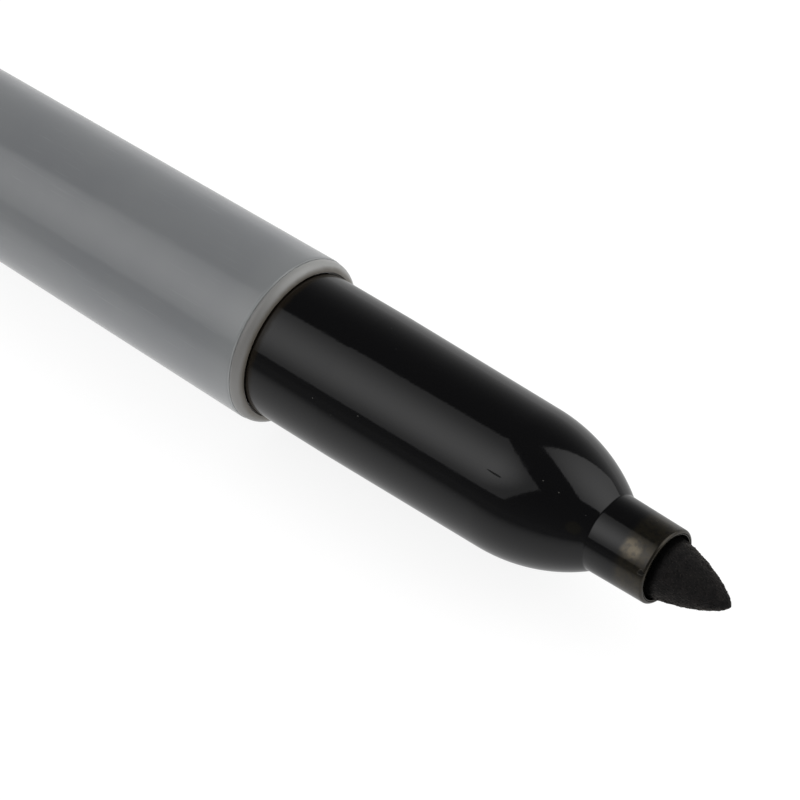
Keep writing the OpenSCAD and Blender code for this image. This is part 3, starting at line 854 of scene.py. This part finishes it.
def table():
    """A white table lit from below and above, as in a light tent, that still takes the marker's shadow.

    In a gloss it is bright under the marker and falls off towards the front, where the tent is open."""
    material, tree, place = new_material("matt white table")
    ray = add(tree, "LightPath").node.outputs
    seen = add(tree, "Math", {0: ray["Is Camera Ray"], 1: ray["Is Transmission Ray"]}, operation="MAXIMUM")
    depth = add(tree, "SeparateXYZ", {0: place}).node.outputs["Y"]
    glow = add(tree, "MapRange", {"Value": depth, "From Min": TABLE_GLOW[0] * MM,
                                  "From Max": TABLE_GLOW[1] * MM, "To Min": 0.1, "To Max": 0.56}, **SMOOTH)
    lit = add(tree, "AddShader", {0: add(tree, "Emission", {"Strength": 1.25}),
                                  1: add(tree, "BsdfDiffuse", {"Color": linear("#a8a8a8")})})
    shown = add(tree, "AddShader", {0: add(tree, "Emission", {"Strength": 0.86}),
                                    1: add(tree, "BsdfDiffuse", {"Color": linear("#7c7c7c")})})
    mirrored = add(tree, "Emission", {"Strength": glow})
    lit = add(tree, "MixShader", {0: ray["Is Glossy Ray"], 1: lit, 2: mirrored})
    add(tree, "OutputMaterial", {"Surface": add(tree, "MixShader", {0: seen, 1: lit, 2: shown})})
    half, level = 3.0, -REST_LEVEL * MM
    mesh = bpy.data.meshes.new("table_top")
    corners = [(-half, -half, level), (half, -half, level), (half, half, level), (-half, half, level)]
    mesh.from_pydata(corners, [], [(0, 1, 2, 3)])
    mesh.materials.append(material)
    top = bpy.data.objects.new("table_top", mesh)
    bpy.context.scene.collection.objects.link(top)


def softbox(name, center, across, outward, size, hot_spot, reach, middle, edge):
    """A flat softbox whose radiance falls smoothly over a reach from its hot spot, in shares of its size.

    A lamp's power is pi times its area times its radiance, and here the power gives a radiance of 1."""
    outward = Vector(outward).normalized()
    across = (Vector(across) - Vector(across).dot(outward) * outward).normalized()
    lamp = bpy.data.lights.new(name, "AREA")
    lamp.shape = "RECTANGLE"
    lamp.size, lamp.size_y = size
    lamp.energy = math.pi * size[0] * size[1]
    lamp.use_nodes = True
    tree = lamp.node_tree
    tree.nodes.clear()
    face = add(tree, "NewGeometry", out="Parametric")
    face = add(tree, "Mapping", {"Vector": face, "Location": (*hot_spot, 0),
                                 "Scale": (1 / size[0], 1 / size[1], 1)}, vector_type="TEXTURE")
    away = add(tree, "VectorMath", {0: face}, out="Value", operation="LENGTH")
    radiance = add(tree, "MapRange", {"Value": away, "From Max": reach, "To Min": middle, "To Max": edge},
                   **SMOOTH)
    add(tree, "OutputLight", {"Surface": add(tree, "Emission", {"Strength": radiance})})
    thing = bpy.data.objects.new(name, lamp)
    turn = Matrix((across, outward.cross(across), outward)).transposed().to_4x4()
    thing.matrix_world = Matrix.Translation(center) @ turn
    thing.visible_camera = False
    bpy.context.scene.collection.objects.link(thing)


def studio_room():
    """The room round the table: white to the camera, and a soft fill that is stronger from behind.

    In a gloss it is dark overhead and in front, with a far wall that brightens towards the table."""
    world = bpy.data.worlds.new("studio room")
    world.use_nodes = True
    tree = world.node_tree
    tree.nodes.clear()
    ray = add(tree, "LightPath").node.outputs
    direction = add(tree, "SeparateXYZ", {0: add(tree, "TexCoord", out="Generated")}).node.outputs
    low = add(tree, "MapRange", {"Value": direction["Z"], "From Min": 0.85, "From Max": 0.0})
    low = add(tree, "Math", {0: low, 1: 2.0}, operation="POWER")
    behind = add(tree, "MapRange", {"Value": direction["Y"], "From Min": -0.3, "From Max": 0.3,
                                    "To Min": 0.05, "To Max": 0.46}, **SMOOTH)
    mirrored = add(tree, "Math", {0: low, 1: behind, 2: 0.03}, operation="MULTIPLY_ADD")
    fill = add(tree, "MapRange", {"Value": direction["Y"], "From Min": -0.7, "From Max": 0.7,
                                  "To Min": 0.4, "To Max": 1.1}, **SMOOTH)
    shade = add(tree, "Mix", {"Factor": ray["Is Glossy Ray"], "A": fill, "B": mirrored}, out="Result")
    seen = add(tree, "Math", {0: ray["Is Camera Ray"], 1: ray["Is Transmission Ray"]}, operation="MAXIMUM")
    shade = add(tree, "Mix", {"Factor": seen, "A": shade, "B": 1.0}, out="Result")
    sky = add(tree, "Background", {"Color": linear("#ffffff"), "Strength": shade})
    add(tree, "OutputWorld", {"Surface": sky})
    bpy.context.scene.world = world


# Lamp places and sizes are shares of this distance in metres
LAMP = 0.75
table()
studio_room()
softbox("front_softbox", center=Vector((-0.331, -0.925, 0.800)) * LAMP, across=(0.553, -0.788, 0.273),
        outward=(-0.716, -0.286, 0.625), size=(1.48 * LAMP, 1.40 * LAMP), hot_spot=(0.378, 0.544),
        reach=0.8 * LAMP, middle=1.25, edge=0.36)
softbox("back_softbox", center=Vector((0.500, 0.481, 0.730)) * LAMP, across=(0.7805, -0.6086, -0.1506),
        outward=(0.5494, 0.5494, 0.6293), size=(1.085 * LAMP, 1.28 * LAMP), hot_spot=(0.567, 0.53),
        reach=LAMP, middle=1.2, edge=0.45)

lens = bpy.data.cameras.new("photo_camera")
lens.lens = CAMERA_LENS
lens.sensor_width = CAMERA_SENSOR
lens.clip_start = 0.01
camera = bpy.data.objects.new("photo_camera", lens)
camera.location = Vector(CAMERA_PLACE) * MM
camera.rotation_euler = (math.radians(90 - VIEW_ELEVATION), 0, math.radians(VIEW_AZIMUTH))
bpy.context.scene.collection.objects.link(camera)
bpy.context.scene.camera = camera
bpy.context.scene.view_settings.view_transform = "Standard"
